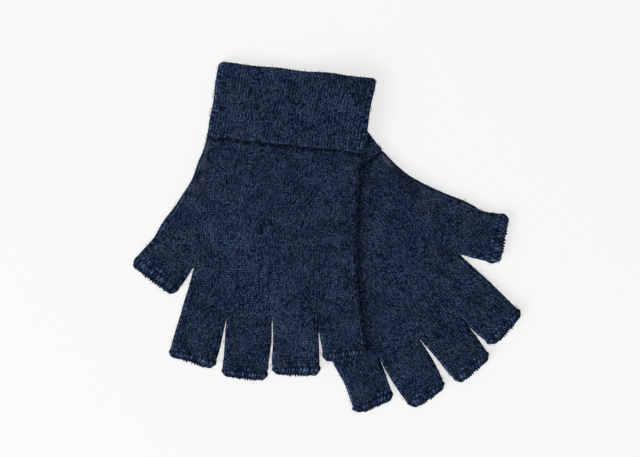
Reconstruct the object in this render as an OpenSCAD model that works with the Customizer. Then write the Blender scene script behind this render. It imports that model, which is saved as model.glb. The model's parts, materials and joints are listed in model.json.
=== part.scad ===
// A pair of fingerless knitted gloves laid flat, the left one across the right one.
// Both are the same glove: a doubled ribbed cuff, a plain hand, and five open digits with
// a coarse band at each tip. The right glove is mirrored and lies on the surface.
// The left glove is draped over it. Each digit folds up at its root, and the free cuff
// folds up at the wrist.

/* [Cuff] */
// Width of the cuff, laid flat
cuff_w = 85; // [80:1:90]
// Length of the cuff from the wrist line to its mouth
cuff_l = 38; // [30:1:46]
// Thickness of the cuff, both sides together
cuff_t = 5.2; // [4.8:0.1:5.6]
// Thickness of the doubled rib on one side of the cuff
cuff_wall = 2; // [1.6:0.1:2.2]

/* [Hand] */
// Width of the hand at the wrist line
wrist_w = 83.5; // [80:0.5:86]
// Length from the wrist line to the fork of index and middle finger
palm_l = 95; // [90:1:100]
// Thickness of the hand and the digits, both sides together
knit_t = 4; // [3.6:0.1:4.4]
// Thickness of the plain knit
knit_wall = 1.3; // [1:0.1:1.5]

/* [Digits] */
// Width of the index finger at its root
index_w = 24.5; // [22:0.5:26]
// Width of the middle finger at its root
middle_w = 24; // [22:0.5:26]
// Width of the ring finger at its root
ring_w = 23; // [21:0.5:25]
// Width of the little finger at its root
little_w = 23; // [21:0.5:25]
// Width of the thumb at its root
thumb_w = 26.5; // [25:0.5:28]
// Slope of the thumb's root line
thumb_slope = 29; // [26:1:32]
// Gap between neighbouring digits at their roots
fork_gap = 1; // [0.8:0.1:1.4]

/* [Bands] */
// Length of the coarse band at each tip
band_l = 4.8; // [4:0.1:6]
// Thickness of a band, both sides together
band_t = 4.8; // [4.4:0.1:5.2]
// Thickness of the knit in a band
band_wall = 1.6; // [1.3:0.1:1.8]

/* [How the pair lies] */
// Turn of the left glove, seen from above
left_turn = -6.5; // [-9:0.5:-4]
// Turn of the right glove, seen from above
right_turn = 38; // [36:0.5:40]
// Middle of the left wrist line, from that of the right glove
left_at = [-18.8, 28.3]; // [-30:0.1:30]
// Air between the two gloves where they cross
lay_gap = 0.8; // [0.5:0.1:1]
// Distance over which the left glove comes down beside the right one
fall = 15; // [12:1:18]

/* [Joints] */
// Running gap between a digit's round root and the hand
hinge_gap = 0.6; // [0.5:0.05:0.7]

/* [Hidden] */
DIGITS = ["thumb", "index", "middle", "ring", "little"];

LEFT = 0;
RIGHT = 1;
knit_colour = "#1d2c4a";
rib_colour = "#1a2743";
band_colour = "#22304f";

// How the digits of each glove lie, thumb to little finger: lean to the thumb side in degrees,
// length with the band, and width at the tip.
lean = [[28, 10.5, -1.5, -6.5, -14], [35.5, 9.5, 1, -5.5, -17]];
reach = [[18, 27, 33, 33.5, 26.5], [19, 24, 31, 33.5, 23.5]];
tip_w = [[27.5, 23.5, 25, 24.5, 23], [26, 22, 21.5, 20.5, 22.5]];

// One flat glove: the wrist line is y = 0, the cuff is above it, the fingers point down,
// and the thumb is on the -x side.
half = knit_t / 2;
thumb_in = [-40.5, -palm_l + 25.5];
thumb_out = thumb_in + thumb_w * [-cos(thumb_slope), sin(thumb_slope)];
index_out = [-44, -palm_l];
index_in = index_out + [index_w, 0];
middle_in = index_in + [middle_w, 2.5];
ring_in = middle_in + [ring_w, 8];
little_in = ring_in + [little_w, 0];
forks = [index_out, index_in, middle_in, ring_in, little_in];

// Outer edges of the hand as Bezier curves from the wrist line
thumb_edge = [[-wrist_w / 2, 0], [-42.3, -22], [-48, -31], thumb_out];
little_edge = [[wrist_w / 2, 0], [41, -30], [44.5, -55], little_in];

// Steps along and round each piece
edge_steps = 7;
root_steps = 3;
side_steps = 5;
finger_cols = 4;
digit_rows = 6;
band_rows = 3;
cuff_rows = 7;
tube_cols = 9;
fold_cols = 3;

function mix(a, b, t) = a * (1 - t) + b * t;
function clamp01(t) = min(1, max(0, t));
function smooth(t) = let (c = clamp01(t)) c * c * (3 - 2 * c);
function bezier(p, t) =
    pow(1 - t, 3) * p[0] + 3 * pow(1 - t, 2) * t * p[1] + 3 * (1 - t) * t * t * p[2] + pow(t, 3) * p[3];
function unit(v) = v / norm(v);
function turned(p, a) = [p[0] * cos(a) - p[1] * sin(a), p[0] * sin(a) + p[1] * cos(a)];

// Glove point to its place on the surface. The right glove is mirrored.
function laid(p, side) =
    side == LEFT ? turned(p, left_turn) + left_at : turned([-p[0], p[1]], right_turn);

// Signed distance into a closed outline: positive inside
function edge_distance(p, a, b) =
    let (t = clamp01((p - a) * (b - a) / ((b - a) * (b - a))))
        norm(p - mix(a, b, t));
function crossings(p, pts) = [
    for (i = [0:len(pts) - 1])
        let (a = pts[i], b = pts[(i + 1) % len(pts)])
            if ((a[1] > p[1]) != (b[1] > p[1])
                && p[0] < a[0] + (b[0] - a[0]) * (p[1] - a[1]) / (b[1] - a[1])) i
];
function depth_in(p, pts) =
    let (d = min([for (i = [0:len(pts) - 1]) edge_distance(p, pts[i], pts[(i + 1) % len(pts)])]))
        (len(crossings(p, pts)) % 2 == 1 ? d : -d);

// Outlines of the right glove's cuff and hand, which carry the left glove
cuff_corners = [[-cuff_w / 2, cuff_l], [cuff_w / 2, cuff_l], [wrist_w / 2, 0], [-wrist_w / 2, 0]];
hand_corners = concat(
    [for (i = [0:4]) bezier(thumb_edge, i / 4)],
    [thumb_in],
    forks,
    [for (i = [3:-1:0]) bezier(little_edge, i / 4)]
);
right_cuff_outline = [for (p = cuff_corners) laid(p, RIGHT)];
right_hand_outline = [for (p = hand_corners) laid(p, RIGHT)];

// Height of the left glove's underside at a place on the surface. It is at its full height
// from just outside the right glove's edge, and comes down further out beside the cuff.
margin = 3;
cuff_fall = fall + 3;
function rise(p) = max(
    (cuff_t + lay_gap) * smooth(1 + (depth_in(p, right_cuff_outline) + margin) / cuff_fall),
    (knit_t + lay_gap) * smooth(1 + (depth_in(p, right_hand_outline) + margin) / fall)
);
function underside(p, side) = side == LEFT ? rise(p) : 0;

// Columns of a ring, as [share of the flat width, height as -1 to 1, share of the fold]:
// the top from the thumb side, the far fold, the bottom back, and the thumb-side fold.
function ring_columns(flats) = concat(
    [for (q = flats) [q, 1, 0]],
    [for (k = [1:fold_cols]) let (a = 90 - 180 * k / (fold_cols + 1)) [1, sin(a), cos(a)]],
    [for (i = [len(flats) - 1:-1:0]) [flats[i], -1, 0]],
    [for (k = [1:fold_cols]) let (a = -90 + 180 * k / (fold_cols + 1)) [0, sin(a), -cos(a)]]
);
even_flats = [for (k = [0:tube_cols]) k / tube_cols];

// One ring of a flattened tube. row = [left end, right end, thickness, left fold, right fold,
// shift, wall], and inset is the wall thickness for the inner ring and 0 for the outer.
// The fold is how far the flat starts from the end of the row. A row with no wall takes the
// tube's, and one whose left fold is wider than round keeps its inner flat as far in.
function ring_points(row, columns, inset, side) =
    let (
        a = row[0],
        b = row[1],
        t = row[2],
        w = norm(b - a),
        r = t / 2 - inset,
        left = row[3] + (row[3] > t / 2 ? inset : 0),
        right = row[4]
    )
        [
            for (c = columns)
                let (
                    s = left + (w - left - right) * c[0]
                        + (c[2] > 0 ? (right - inset) * c[2] : (left - inset) * c[2]),
                    z = r * c[1],
                    flat = mix(a, b, s / w),
                    p = laid(flat + shift_of(row[5], s / w, z), side)
                )
                    [p[0] - middle[0], p[1] - middle[1], underside(p, side) + t / 2 + z]
        ];

// A shift moves a ring's points: [direction of the round end, its radius, share of the fork
// line]. With no direction, the round end follows the finger forks.
function round_end(radius, z) = sqrt(max(0, radius * radius - z * z));
function shift_of(shift, u, z) =
    shift == undef ? [0, 0]
    : (shift[0] == undef ? fork_up(u) : shift[0]) * round_end(shift[1], z) + shift[2] * fork_shift(u);

// The finger end of the hand: which finger a share of its width meets, how far its root
// line is from the straight line between the outer corners, and which way leads up the hand
function finger_across(x) = x < index_in[0] ? 0 : x < middle_in[0] ? 1 : x < ring_in[0] ? 2 : 3;
function root_line_y(x) =
    let (i = finger_across(x), a = forks[i], b = forks[i + 1])
        a[1] + (b[1] - a[1]) * (x - a[0]) / (b[0] - a[0]);
function fork_x(u) = mix(index_out[0], little_in[0], clamp01(u));
function fork_shift(u) = [0, root_line_y(fork_x(u)) - mix(index_out[1], little_in[1], clamp01(u))];
function square_to(a) = unit([-a[1], a[0]]);
function finger_up(x) = let (i = finger_across(x)) square_to(forks[i + 1] - forks[i]);
function fork_up(u) = unit(finger_up(fork_x(u) - 0.5) + finger_up(fork_x(u) + 0.5));

// Two triangles of a quad, or the same seen from the other side
function quad(a, b, c, d, flip) = flip ? [[a, c, b], [a, d, c]] : [[a, b, c], [a, c, d]];

// A thick open tube from outer and inner rings. hole = [first row, last row, first column,
// last column] leaves an opening in the wall.
module open_tube(outer, inner, side, hole = [-1, -1, 0, 0]) {
    rows = len(outer);
    n = len(outer[0]);
    base = rows * n;
    points = concat([for (r = outer) each r], [for (r = inner) each r]);
    function o(j, i) = j * n + i % n;
    function k(j, i) = base + j * n + i % n;
    function in_hole(j, i) = j >= hole[0] && j < hole[1] && i >= hole[2] && i < hole[3];
    flip = side == RIGHT;
    faces = concat(
        [for (j = [0:rows - 2], i = [0:n - 1]) if (!in_hole(j, i))
            each quad(o(j, i), o(j, i + 1), o(j + 1, i + 1), o(j + 1, i), flip)],
        [for (j = [0:rows - 2], i = [0:n - 1]) if (!in_hole(j, i))
            each quad(k(j, i), k(j + 1, i), k(j + 1, i + 1), k(j, i + 1), flip)],
        [for (i = [0:n - 1]) each quad(o(0, i), k(0, i), k(0, i + 1), o(0, i + 1), flip)],
        [for (i = [0:n - 1]) let (j = rows - 1)
            each quad(o(j, i), o(j, i + 1), k(j, i + 1), k(j, i), flip)],
        hole[0] < 0 ? [] : [for (j = [hole[0]:hole[1] - 1])
            each quad(o(j, hole[2]), k(j, hole[2]), k(j + 1, hole[2]), o(j + 1, hole[2]), flip)],
        hole[0] < 0 ? [] : [for (j = [hole[0]:hole[1] - 1])
            each quad(o(j, hole[3]), o(j + 1, hole[3]), k(j + 1, hole[3]), k(j, hole[3]), flip)],
        hole[0] < 0 ? [] : [for (i = [hole[2]:hole[3] - 1]) let (j = hole[0])
            each quad(o(j, i), o(j, i + 1), k(j, i + 1), k(j, i), flip)],
        hole[0] < 0 ? [] : [for (i = [hole[2]:hole[3] - 1]) let (j = hole[1])
            each quad(o(j, i), k(j, i), k(j, i + 1), o(j, i + 1), flip)]
    );
    polyhedron(points, faces);
}

module tube(rows, flats, wall, side, hole = [-1, -1, 0, 0]) {
    columns = ring_columns(flats);
    open_tube(
        [for (row = rows) ring_points(row, columns, 0, side)],
        [for (row = rows) ring_points(row, columns, row[6] == undef ? wall : row[6], side)],
        side, hole
    );
}

// Hand: rows run from the wrist line to the finger forks. The thumb opening is in the fold.
finger_flats = [
    for (i = [0:3], k = [0:finger_cols - 1 + (i == 3 ? 1 : 0)])
        let (w = little_in[0] - index_out[0])
            (mix(forks[i][0], forks[i + 1][0], k / finger_cols) - index_out[0]) / w
];
function little_side(y) = bezier(little_edge, clamp01(-y / palm_l));
// Share of the palm's length from which its rows turn to the line of the forks
straight_share = 0.55;
function hand_row(a, fold) =
    let (
        b = little_side(a[1]),
        ends = smooth((-a[1] / palm_l - straight_share) / (1 - straight_share))
    )
        [a, b, knit_t, fold, half, [[0, 0], 0, ends]];
clear_r = half + hinge_gap;
lip = round_end(clear_r, half) / sin(thumb_slope) + 1;
// The thumb opening runs this share of the thumb's edge past both ends of the root line
opening_end = 0.03;
hand_rows = concat(
    [[thumb_edge[0], little_edge[0], knit_t, half, half, [[0, -1], clear_r, 0]]],
    [for (i = [1:edge_steps - 1]) hand_row(bezier(thumb_edge, i / edge_steps), half)],
    [hand_row(bezier(thumb_edge, 1 - opening_end), half)],
    [for (i = [0:root_steps]) hand_row(mix(thumb_out, thumb_in, i / root_steps), lip)],
    [hand_row(mix(thumb_in, index_out, 4 * opening_end), half)],
    [for (i = [1:side_steps - 1]) hand_row(mix(thumb_in, index_out, i / side_steps), half)],
    [[index_out, little_in, knit_t, half, half, [undef, clear_r, 1]]]
);
module hand(side) {
    n = len(finger_flats);
    open_fold = 2 * n + fold_cols - 1;
    tube(hand_rows, finger_flats, knit_wall, side,
        [edge_steps, edge_steps + root_steps + 2, open_fold, open_fold + fold_cols + 1]);
}

// Cuff: it thickens from the wrist line over the neck and its mouth has round corners.
cuff_round = 3;
neck_share = 0.05;
hollow = cuff_t - 2 * cuff_wall;
module cuff(side) {
    rows = [
        for (i = [0:cuff_rows])
            let (
                y = cuff_l * (i == 0 ? 0 : i == 1 ? neck_share : (i - 1) / (cuff_rows - 1)),
                w = mix(wrist_w, cuff_w, y / cuff_l),
                corner = max(0, y - cuff_l + cuff_round),
                pull = cuff_round - sqrt(cuff_round * cuff_round - corner * corner)
            )
                [
                    [-w / 2 + pull, y], [w / 2 - pull, y],
                    i == 0 ? knit_t : cuff_t, i == 0 ? half : cuff_t / 2, i == 0 ? half : cuff_t / 2,
                    i == 0 ? [[0, -1], half, 0] : undef, i == 0 ? half - hollow / 2 : cuff_wall
                ]
    ];
    tube([for (i = [cuff_rows:-1:0]) rows[i]], even_flats, cuff_wall, side);
}

// Root line, direction, start and end of each digit
function digit_root(d) =
    d == 0 ? [thumb_out, thumb_in] : [forks[d - 1], forks[d]];
function digit_down(d, side) = [-sin(lean[side][d]), -cos(lean[side][d])];
function digit_at(d, side, far) =
    let (
        root = digit_root(d),
        across = unit(root[1] - root[0]),
        inset = across * fork_gap / 2,
        down = digit_down(d, side),
        share = far / reach[side][d],
        centre = mix(root[0], root[1], 0.5) + down * reach[side][d],
        sideways = [-down[1], down[0]] * tip_w[side][d] / 2
    )
        [mix(root[0] + inset, centre - sideways, share), mix(root[1] - inset, centre + sideways, share)];

module digit(d, side) {
    stall = reach[side][d] - band_l;
    root = digit_root(d);
    up = square_to(root[1] - root[0]);
    rows = [
        for (j = [0:digit_rows])
            let (ends = digit_at(d, side, stall * j / digit_rows))
                [ends[0], ends[1], knit_t, half, half, j == 0 ? [up, half, 0] : undef]
    ];
    tube(rows, even_flats, knit_wall, side);
}

// Band: its last stretch pulls in to the round corners, and the rows before it flare.
corner_r = 1.6;
flare = 0.2;
corner_share = 0.16;
module band(d, side) {
    stall = reach[side][d] - band_l;
    rows = [
        for (j = [0:band_rows])
            let (
                share = j == band_rows ? 1 : j * (1 - corner_share) / (band_rows - 1),
                ends = digit_at(d, side, stall + band_l * share),
                across = unit(ends[1] - ends[0]),
                pull = j == band_rows ? corner_r : j == 0 ? 0 : -flare
            )
                [ends[0] + across * pull, ends[1] - across * pull, band_t, band_t / 2, band_t / 2, undef]
    ];
    tube(rows, even_flats, band_wall, side);
}

// Middle of the whole pair, seen from above: the origin is under it
outline_points = [
    for (side = [LEFT, RIGHT])
        each concat(
            [for (p = cuff_corners) laid(p, side)],
            [for (d = [0:4], far = [reach[side][d] - band_l, reach[side][d]]) each
                let (ends = digit_at(d, side, far)) [laid(ends[0], side), laid(ends[1], side)]]
        )
];
middle = [
    for (k = [0:1])
        (min([for (p = outline_points) p[k]]) + max([for (p = outline_points) p[k]])) / 2
];

module left_cuff() { color(rib_colour) cuff(LEFT); }
module right_cuff() { color(rib_colour) cuff(RIGHT); }
module left_hand() { color(knit_colour) hand(LEFT); }
module right_hand() { color(knit_colour) hand(RIGHT); }
module digit_stall(d, side) { color(knit_colour) digit(d, side); }
module digit_band(d, side) { color(band_colour) band(d, side); }

function side_name(side) = side == LEFT ? "left_" : "right_";
function stall_name(d, side) = str(side_name(side), DIGITS[d], d == 0 ? "" : "_finger");
function band_name(d, side) = str(side_name(side), DIGITS[d], "_band");

left_cuff();
right_cuff();
left_hand();
right_hand();
for (side = [LEFT, RIGHT], d = [0:4]) {
    digit_stall(d, side);
    digit_band(d, side);
}
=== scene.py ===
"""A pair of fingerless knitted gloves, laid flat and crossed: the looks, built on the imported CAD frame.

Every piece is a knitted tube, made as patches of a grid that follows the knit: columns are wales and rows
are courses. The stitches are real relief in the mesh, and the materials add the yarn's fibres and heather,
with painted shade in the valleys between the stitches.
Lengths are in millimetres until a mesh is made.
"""

import json
import math

import bpy
import numpy as np
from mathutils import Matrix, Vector
from mathutils.bvhtree import BVHTree


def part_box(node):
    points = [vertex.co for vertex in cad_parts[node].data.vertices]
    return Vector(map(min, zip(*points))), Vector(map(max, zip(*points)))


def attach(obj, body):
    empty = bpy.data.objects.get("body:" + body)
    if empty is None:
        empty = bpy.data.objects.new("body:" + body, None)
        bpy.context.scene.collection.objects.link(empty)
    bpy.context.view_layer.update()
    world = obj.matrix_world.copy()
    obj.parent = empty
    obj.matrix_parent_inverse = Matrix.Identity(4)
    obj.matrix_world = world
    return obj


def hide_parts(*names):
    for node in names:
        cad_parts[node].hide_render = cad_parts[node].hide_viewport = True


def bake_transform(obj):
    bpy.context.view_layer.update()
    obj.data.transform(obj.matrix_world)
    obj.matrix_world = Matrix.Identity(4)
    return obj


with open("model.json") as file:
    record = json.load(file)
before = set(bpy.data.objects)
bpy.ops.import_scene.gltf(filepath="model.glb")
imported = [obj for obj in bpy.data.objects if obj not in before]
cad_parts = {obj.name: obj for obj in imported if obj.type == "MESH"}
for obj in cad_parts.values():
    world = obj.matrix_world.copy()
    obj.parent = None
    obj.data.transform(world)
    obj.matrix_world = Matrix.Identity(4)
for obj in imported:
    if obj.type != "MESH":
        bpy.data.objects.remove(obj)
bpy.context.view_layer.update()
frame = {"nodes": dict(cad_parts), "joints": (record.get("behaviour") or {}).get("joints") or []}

MM = 0.001
SIDES = ("left", "right")
FINGERS = ("index", "middle", "ring", "little")
DIGITS = ("thumb",) + FINGERS
JOINTS = {j["name"]: j for j in frame["joints"]}

# Knit: wales across each digit, grid columns a wale on the upper and the lower face, course height and
# grid rows a course
WALES = {"thumb": 18, "index": 16, "middle": 15, "ring": 15, "little": 15}
TOP_COLS = 4
LOW_COLS = 2
COURSE = 1.2
ROWS_A_COURSE = 3
STEP = COURSE / ROWS_A_COURSE
FOLD_COLS = 8
FOLD_WALES = 2
FOLD_RELIEF = 0.6
INNER_ROWS = 12
# How far the soft outer edge draws in where the hand becomes the thumb
THUMB_TRIM = {"left": 1.0, "right": 1.6}
# How far the soft crotch of the thumb lies inside the CAD's
CROTCH_SHIFT = {"left": 1.2, "right": 0.6}
# Relief, from the valley between two stitches to the crest
PLAIN_RELIEF = 0.45
RIB_RELIEF = 0.75
BAND_RELIEF = 1.3
# Share of the relief that stands inside the plain surface
SUNK = 0.45
RIB_PITCH = 1.75
BAND_PITCH = 2.3


# ------------------------ measures taken from the frame


def unit(v):
    return v / np.linalg.norm(v)


def smooth(t):
    t = np.clip(t, 0, 1)
    return t * t * (3 - 2 * t)


def mix(a, b, t):
    return a * (1 - t) + b * t


def joint_at(name):
    return np.array(JOINTS[name]["pos_m"][:2]) / MM


def joint_along(name):
    return unit(np.array(JOINTS[name]["axis"][:2]))


def middle_of(node):
    lo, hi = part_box(node)
    return np.array((lo + hi) / 2)[:2] / MM


def thickness_of(node):
    lo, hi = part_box(node)
    return (hi.z - lo.z) / MM


def crossing(p, u, q, v):
    """Where the line through p along u meets the line through q along v."""
    t = np.linalg.solve(np.array([u, -v]).T, q - p)
    return p + u * t[0]


class Layout:
    """One glove's own axes, from the middle of the wrist: x towards the little finger, y towards the cuff."""

    def __init__(self, side, index_mid=None):
        self.side = side
        index, little = joint_at(f"{side}_index_fold"), joint_at(f"{side}_little_fold")
        self.ex = joint_along(f"{side}_index_fold")
        self.ex = self.ex * np.sign((little - index) @ self.ex)
        self.ey = np.array([-self.ex[1], self.ex[0]])
        self.ey = self.ey * np.sign((middle_of(f"{side}_cuff") - index) @ self.ey)
        if index_mid is None:
            self.origin = joint_at(f"{side}_cuff_fold")
        else:
            self.origin = index - index_mid[0] * self.ex - index_mid[1] * self.ey
        self.cache = {}

    def local(self, p):
        d = np.asarray(p) - self.origin
        return np.stack([d @ self.ex, d @ self.ey], -1)

    def world(self, p):
        return self.origin + p[..., :1] * self.ex + p[..., 1:2] * self.ey

    def joint(self, digit):
        return self.local(joint_at(f"{self.side}_{digit}_fold"))

    def root_along(self, digit):
        a = joint_along(f"{self.side}_{digit}_fold")
        return unit(np.array([a @ self.ex, a @ self.ey]))

    def edges(self, node):
        """The node's vertices in the glove's own axes, and its edges."""
        if node not in self.cache:
            mesh = frame["nodes"][node].data
            co = np.empty(len(mesh.vertices) * 3)
            mesh.vertices.foreach_get("co", co)
            ends = np.empty(len(mesh.edges) * 2, int)
            mesh.edges.foreach_get("vertices", ends)
            self.cache[node] = self.local(co.reshape(-1, 3)[:, :2] / MM), ends.reshape(-1, 2)
        return self.cache[node]

    def span(self, node, at, along, level):
        """Lowest and highest place across a node where it is cut square to along, level away from at."""
        co, ends = self.edges(node)
        across = np.array([-along[1], along[0]])
        a, c = (co - at) @ along, (co - at) @ across
        a0, a1, c0, c1 = a[ends[:, 0]], a[ends[:, 1]], c[ends[:, 0]], c[ends[:, 1]]
        cut = (a0 - level) * (a1 - level) < 0
        t = (level - a0[cut]) / (a1[cut] - a0[cut])
        hits = mix(c0[cut], c1[cut], t)
        return hits.min(), hits.max()


def stall_node(side, digit):
    return f"{side}_{digit}" + ("" if digit == "thumb" else "_finger")


LAYOUTS = {"left": Layout("left")}
LAYOUTS["right"] = Layout("right", LAYOUTS["left"].joint("index"))

HAND_HALF = thickness_of("right_hand") / 2
CUFF_HALF = thickness_of("right_cuff") / 2
BAND_HALF = thickness_of("right_index_band") / 2
KNIT_WALL = HAND_HALF * 0.62
CUFF_WALL = CUFF_HALF * 0.74
BAND_WALL = BAND_HALF * 0.66
Y = np.array([0.0, 1.0])


def edge_curve(lay, node, levels, end, last):
    """Smooth curve x(y) through a hand's edge, from its cuts at the levels to the last point.
    end 0 is the thumb's side."""
    xs = [lay.span(node, np.zeros(2), Y, y) for y in levels]
    # square to Y, across runs along -x, so the thumb's side is the highest cut
    x = [-hi if end == 0 else -lo for lo, hi in xs]
    weight = np.ones(len(levels) + 1)
    weight[-1] = 10
    fit = np.polyfit([*levels, last[1]], [*x, last[0]], 4, w=weight)
    return lambda y: np.polyval(fit, y)


def edge_way(x_at, y, step=6.0):
    """The way a hand's edge runs at y, towards the fingers."""
    return unit(np.array([x_at(y) - x_at(y + step), -step]))


class HandShape:
    """Forks, thumb root and edges of one glove, in its own axes."""

    def __init__(self, lay):
        hand = f"{lay.side}_hand"
        at, along = lay.joint, lay.root_along
        inner = [
            crossing(at(a), along(a), at(b), along(b)) for a, b in zip(FINGERS, FINGERS[1:])
        ]
        self.forks = np.array([2 * at("index") - inner[0], *inner, 2 * at("little") - inner[-1]])
        palm = -self.forks[0][1]
        # The hand's edge between thumb and index finger is straight; it meets the thumb's root line
        low, high = -0.8 * palm, -0.95 * palm
        side_edge = [
            np.array([-lay.span(hand, np.zeros(2), Y, y)[1], y]) for y in (low, high)
        ]
        self.thumb_in = crossing(
            side_edge[0], side_edge[1] - side_edge[0], at("thumb"), along("thumb")
        )
        self.thumb_out = 2 * at("thumb") - self.thumb_in
        inward = unit(self.thumb_in - self.thumb_out)
        self.thumb_in = self.thumb_in + CROTCH_SHIFT[lay.side] * inward
        self.thumb_out = self.thumb_out - THUMB_TRIM[lay.side] * unit(self.thumb_out - self.thumb_in)
        # the CAD's opening for the thumb cuts into its edge near the root, so the cuts stop short of it
        thumb_levels = np.linspace(-0.03 * palm, 0.8 * self.thumb_out[1], 24)
        little_levels = np.linspace(-0.03 * palm, 0.97 * self.forks[-1][1], 24)
        self.thumb_x = edge_curve(lay, hand, thumb_levels, 0, self.thumb_out)
        self.little_x = edge_curve(lay, hand, little_levels, 1, self.forks[-1])


SHAPES = {side: HandShape(LAYOUTS[side]) for side in SIDES}


class Digit:
    """Root ends, side edges and length of one digit, in the glove's own axes."""

    def __init__(self, lay, shape, name):
        self.name, self.side = name, lay.side
        k = DIGITS.index(name)
        root = [shape.thumb_out, shape.thumb_in] if k == 0 else shape.forks[k - 1 : k + 1]
        self.root = [np.array(root[0]), np.array(root[1])]
        self.mid = (self.root[0] + self.root[1]) / 2
        stall, band = stall_node(lay.side, name), f"{lay.side}_{name}_band"
        tip = lay.edges(band)[0]
        self.down = unit((tip.min(0) + tip.max(0)) / 2 - self.mid)
        for _ in range(3):  # the middle of the band, square to its own direction
            across = np.array([-self.down[1], self.down[0]])
            c, a = (tip - self.mid) @ across, (tip - self.mid) @ self.down
            off = (c.min() + c.max()) / 2
            self.down = unit(self.down * a.mean() + across * off)
        across = np.array([-self.down[1], self.down[0]])
        far = (tip - self.mid) @ self.down
        self.stall, self.reach = far.min(), far.max()
        near_cut, far_cut = 0.6 * self.stall, 0.95 * self.stall
        cuts = [lay.span(stall, self.mid, self.down, level) for level in (near_cut, far_cut)]
        # side edges run straight through the two cuts, to the tip
        ends = []
        for side in (0, 1):
            slope = (cuts[1][side] - cuts[0][side]) / (far_cut - near_cut)
            c = cuts[1][side] + slope * (self.reach - far_cut)
            ends.append(self.mid + self.down * self.reach + across * c)
        order = np.argsort([(e - self.mid) @ (self.root[1] - self.root[0]) for e in ends])
        self.tip = [ends[i] for i in order]
        # the way the hand's edge runs where it becomes the side of this digit
        self.leaves = [None, None]
        if name == "thumb":
            self.leaves[0] = edge_way(shape.thumb_x, self.root[0][1])
        if name == "index":
            self.leaves[0] = unit(shape.forks[0] - shape.thumb_in)
        if name == "little":
            self.leaves[1] = edge_way(shape.little_x, self.root[1][1])


DIGIT_SHAPES = {
    (side, name): Digit(LAYOUTS[side], SHAPES[side], name) for side in SIDES for name in DIGITS
}


class Drape:
    """Height of the upper glove's underside over the surface, from the CAD nodes of that glove."""

    def __init__(self, cell=2.0, smoothing=3):
        nodes = [n for n in frame["nodes"] if n.startswith("left_")]
        lo = np.min([np.array(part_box(n)[0]) for n in nodes], 0) / MM - 6 * cell
        hi = np.max([np.array(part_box(n)[1]) for n in nodes], 0) / MM + 6 * cell
        self.lo, self.cell = lo[:2], cell
        shape = np.ceil((hi[:2] - lo[:2]) / cell).astype(int) + 1
        z = np.full(shape, np.nan)
        depsgraph = bpy.context.evaluated_depsgraph_get()
        trees = [
            (BVHTree.FromObject(frame["nodes"][n], depsgraph), self.half_of(n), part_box(n))
            for n in nodes
        ]
        for i in range(shape[0]):
            for j in range(shape[1]):
                x, y = (self.lo + cell * np.array([i, j])) * MM
                for tree, half, (b_lo, b_hi) in trees:
                    if not (b_lo.x < x < b_hi.x and b_lo.y < y < b_hi.y):
                        continue
                    up = tree.ray_cast(Vector((x, y, -1)), Vector((0, 0, 1)))[0]
                    down = tree.ray_cast(Vector((x, y, 1)), Vector((0, 0, -1)))[0]
                    if up and down:
                        z[i, j] = (up.z + down.z) / 2 / MM - half
        self.z = self.filled(z, smoothing)

    @staticmethod
    def half_of(node):
        return CUFF_HALF if "cuff" in node else BAND_HALF if "band" in node else HAND_HALF

    @staticmethod
    def around(z):
        p = np.pad(z, 1, mode="edge")
        return [
            p[1 + i : p.shape[0] - 1 + i, 1 + j : p.shape[1] - 1 + j]
            for i in (-1, 0, 1)
            for j in (-1, 0, 1)
        ]

    def filled(self, z, smoothing):
        while np.isnan(z).any():
            near = np.array(self.around(z))
            known = ~np.isnan(near)
            total, count = np.where(known, near, 0).sum(0), known.sum(0)
            z = np.where(np.isnan(z) & (count > 0), total / np.maximum(count, 1), z)
        for _ in range(smoothing):
            z = np.mean(self.around(z), 0)
        return np.maximum(z, 0)

    def at(self, p):
        g = (p - self.lo) / self.cell
        top = np.array(self.z.shape) - 2
        i = np.clip(np.floor(g).astype(int), 0, top)
        t = np.clip(g - i, 0, 1)
        z = self.z
        a = mix(z[i[..., 0], i[..., 1]], z[i[..., 0] + 1, i[..., 1]], t[..., 0])
        b = mix(z[i[..., 0], i[..., 1] + 1], z[i[..., 0] + 1, i[..., 1] + 1], t[..., 0])
        return mix(a, b, t[..., 1])


DRAPE = Drape()


# ------------------------ knit relief and small irregularities


def hashed(i, j, salt):
    """A fixed random number from 0 to 1 for each pair of whole numbers."""
    v = np.sin(i * 12.9898 + j * 78.233 + salt * 37.719) * 43758.5453
    return v - np.floor(v)


def uneven(w, c, salt):
    """Each stitch is a little higher or lower than the next."""
    return 0.8 + 0.4 * hashed(np.floor(w), np.floor(c), salt)


def plain_relief(w, c, low):
    """Columns of V-shaped stitches, 0 in the valleys and 1 on the crests."""
    legs = np.abs(np.sin(2 * np.pi * w))
    stripes = 0.5 + 0.5 * np.cos(2 * np.pi * (c + 0.3 * np.cos(2 * np.pi * w)))
    fine = np.abs(np.sin(np.pi * w)) ** 1.3 * (0.72 + 0.28 * legs) * (0.45 + 0.55 * stripes) * 1.1
    coarse = 0.5 + 0.5 * np.cos(2 * np.pi * w)
    # the first courses lie low in a furrow under the cuff's edge, some further than others; their low relief
    # also makes the material paint them dark, a painted shadow of the cuff's edge
    furrow = 1.9 + 1.6 * hashed(np.floor(w), 0 * w, 5)
    return np.where(low, coarse, fine) * uneven(w, c, 1) * smooth((c - furrow) / 0.9)


def rib_relief(w, c, low):
    """Raised ribs of stitches with deep valleys between them, and a row of loops along the free edge."""
    crest = (0.5 - 0.5 * np.cos(2 * np.pi * w)) ** 0.7
    stripes = 0.5 + 0.5 * np.cos(2 * np.pi * (c + 0.25 * np.abs(2 * (w % 1) - 1)))
    rib = crest * (0.62 + 0.38 * stripes) * (0.85 + 0.3 * hashed(np.floor(w), np.floor(c), 2))
    edge = np.exp(-(((c - 0.35) / 0.3) ** 2))
    return rib * (1 - 0.35 * edge)


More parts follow.
